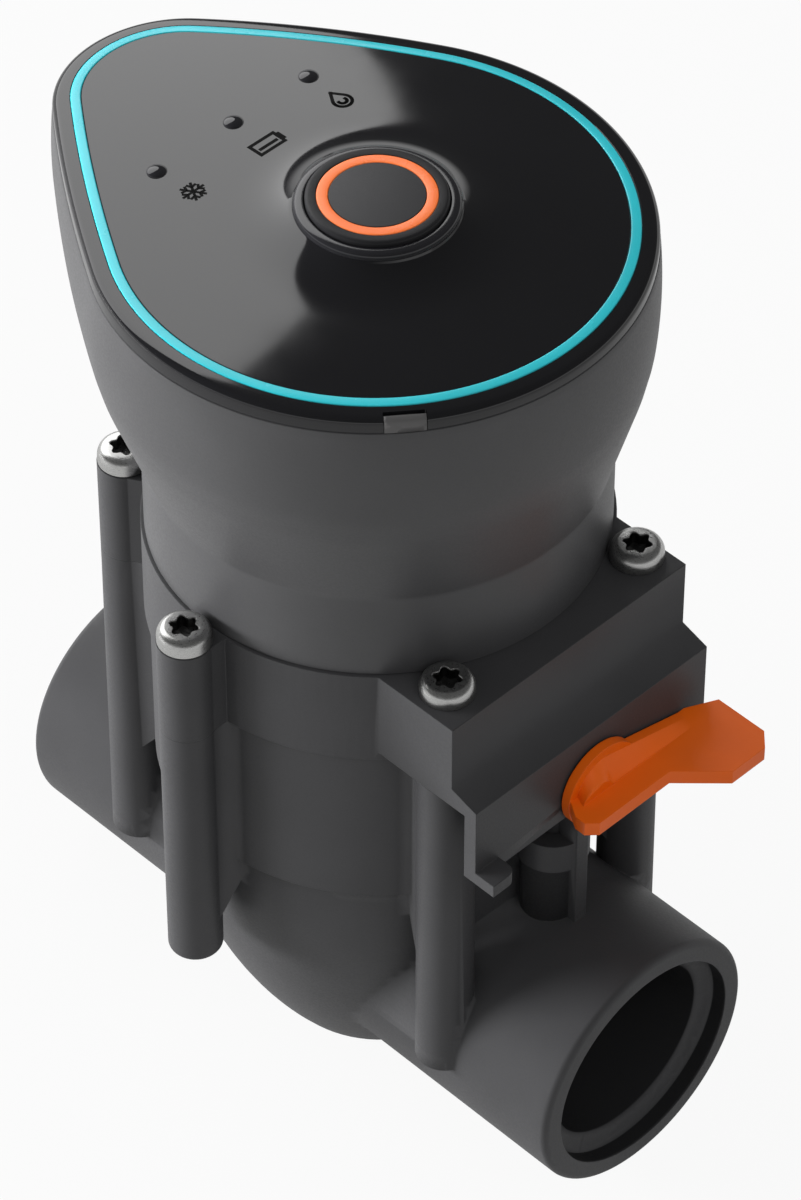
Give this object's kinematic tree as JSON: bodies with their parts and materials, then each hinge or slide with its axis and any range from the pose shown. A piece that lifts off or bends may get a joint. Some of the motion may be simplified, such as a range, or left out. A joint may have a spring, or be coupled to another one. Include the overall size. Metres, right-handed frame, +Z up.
{
  "type": "battery powered irrigation water valve",
  "caption": "Inline pilot operated water valve with threaded pipe ports, a manual bleed lever and a battery control head with a push button.",
  "frame": {"origin": "centre of the round foot under the body, on the axis of the body, cover and push button", "axes": "+X along the pipe towards the outlet port, +Z up along the body axis, +Y completes a right-handed frame; the narrow tip of the control head points to -X"},
  "size_m": [0.1185, 0.0864, 0.1597],
  "materials": {
    "body_black": "fine moulded texture, anthracite",
    "cover_black": "fine moulded texture, anthracite",
    "head_black": "fine moulded texture, anthracite",
    "lid_gloss": "high gloss black",
    "turquoise": "satin turquoise",
    "button_grey": "satin dark grey",
    "orange": "satin orange",
    "screw_steel": "bright stainless steel",
    "inner_steel": "plain stainless steel",
    "brass": "turned brass",
    "seal_rubber": "black seal rubber",
    "inner_plastic": "grey engineering plastic",
    "copper": "enamelled copper winding",
    "lens": "dark smoked lens",
    "board_green": "green circuit board",
    "battery_skin": "plain dark battery sleeve",
    "tab_grey": "satin grey"
  },
  "bodies": {
    "valve": {"valve_body": "body_black", "outlet_socket": "body_black", "inlet_socket": "body_black", "seat_insert": "body_black", "bleed_post": "body_black", "bonnet": "cover_black", "cover_screws": "screw_steel", "core_tube": "inner_steel", "fixed_core": "inner_steel", "solenoid_yoke": "inner_steel", "coil_bobbin": "inner_plastic", "coil_winding": "copper", "coil_nut": "inner_steel", "core_seal": "seal_rubber", "bleed_post_seal": "seal_rubber", "head_housing": "head_black", "neck_seal": "seal_rubber", "head_screws": "inner_steel", "lid_seal": "seal_rubber", "battery_tray": "inner_plastic", "battery": "battery_skin", "battery_contacts": "brass", "contact_pins": "brass"},
    "poppet": {"diaphragm_plate": "inner_plastic", "metering_screen": "inner_steel", "seat_washer": "seal_rubber", "poppet_guide": "inner_plastic", "poppet_bolt": "brass", "diaphragm": "seal_rubber", "main_spring": "inner_steel"},
    "plunger": {"plunger": "inner_steel", "plunger_seal": "seal_rubber", "plunger_spring": "inner_steel"},
    "lever": {"lever": "orange", "bleed_spindle": "brass", "spindle_seal": "seal_rubber"},
    "lid": {"lid": "lid_gloss", "ring_inlay": "turquoise", "button_bezel": "button_grey", "circuit_board": "board_green", "board_screws": "inner_steel", "status_leds": "inner_plastic", "led_lenses": "lens", "tact_switch": "inner_plastic"},
    "button": {"button_cap": "button_grey", "button_ring": "orange", "button_spring": "inner_steel"},
    "latch": {"latch_tab": "tab_grey"}
  },
  "joints": [
    {"name": "poppet_lift", "type": "slide", "parent": "valve", "child": "poppet", "axis": [0, 0, 1], "range_m": [0, 0.0045], "stiffness_N_per_m": 400, "springref_m": -0.008, "deforming": ["diaphragm", "main_spring"]},
    {"name": "plunger_lift", "type": "slide", "parent": "valve", "child": "plunger", "axis": [0, 0, 1], "range_m": [0, 0.0018], "stiffness_N_per_m": 200, "springref_m": -0.004, "deforming": ["plunger_spring"]},
    {"name": "lever_turn", "type": "hinge", "parent": "valve", "child": "lever", "pos_m": [0.0451, 0, 0.0752], "axis": [1, 0, 0], "range_deg": [0, 180]},
    {"name": "lid_hinge", "type": "hinge", "parent": "valve", "child": "lid", "pos_m": [-0.0592, 0, 0.1511], "axis": [0, -1, 0], "range_deg": [0, 70]},
    {"name": "button_press", "type": "slide", "parent": "lid", "child": "button", "axis": [0, 0, -1], "range_m": [0, 0.0008], "stiffness_N_per_m": 800, "springref_m": -0.0005, "deforming": ["button_spring"]},
    {"name": "latch_press", "type": "slide", "parent": "lid", "child": "latch", "axis": [-0.788, 0.6157, 0], "range_m": [0, 0.0006], "stiffness_N_per_m": 800, "springref_m": -0.0005}
  ]
}
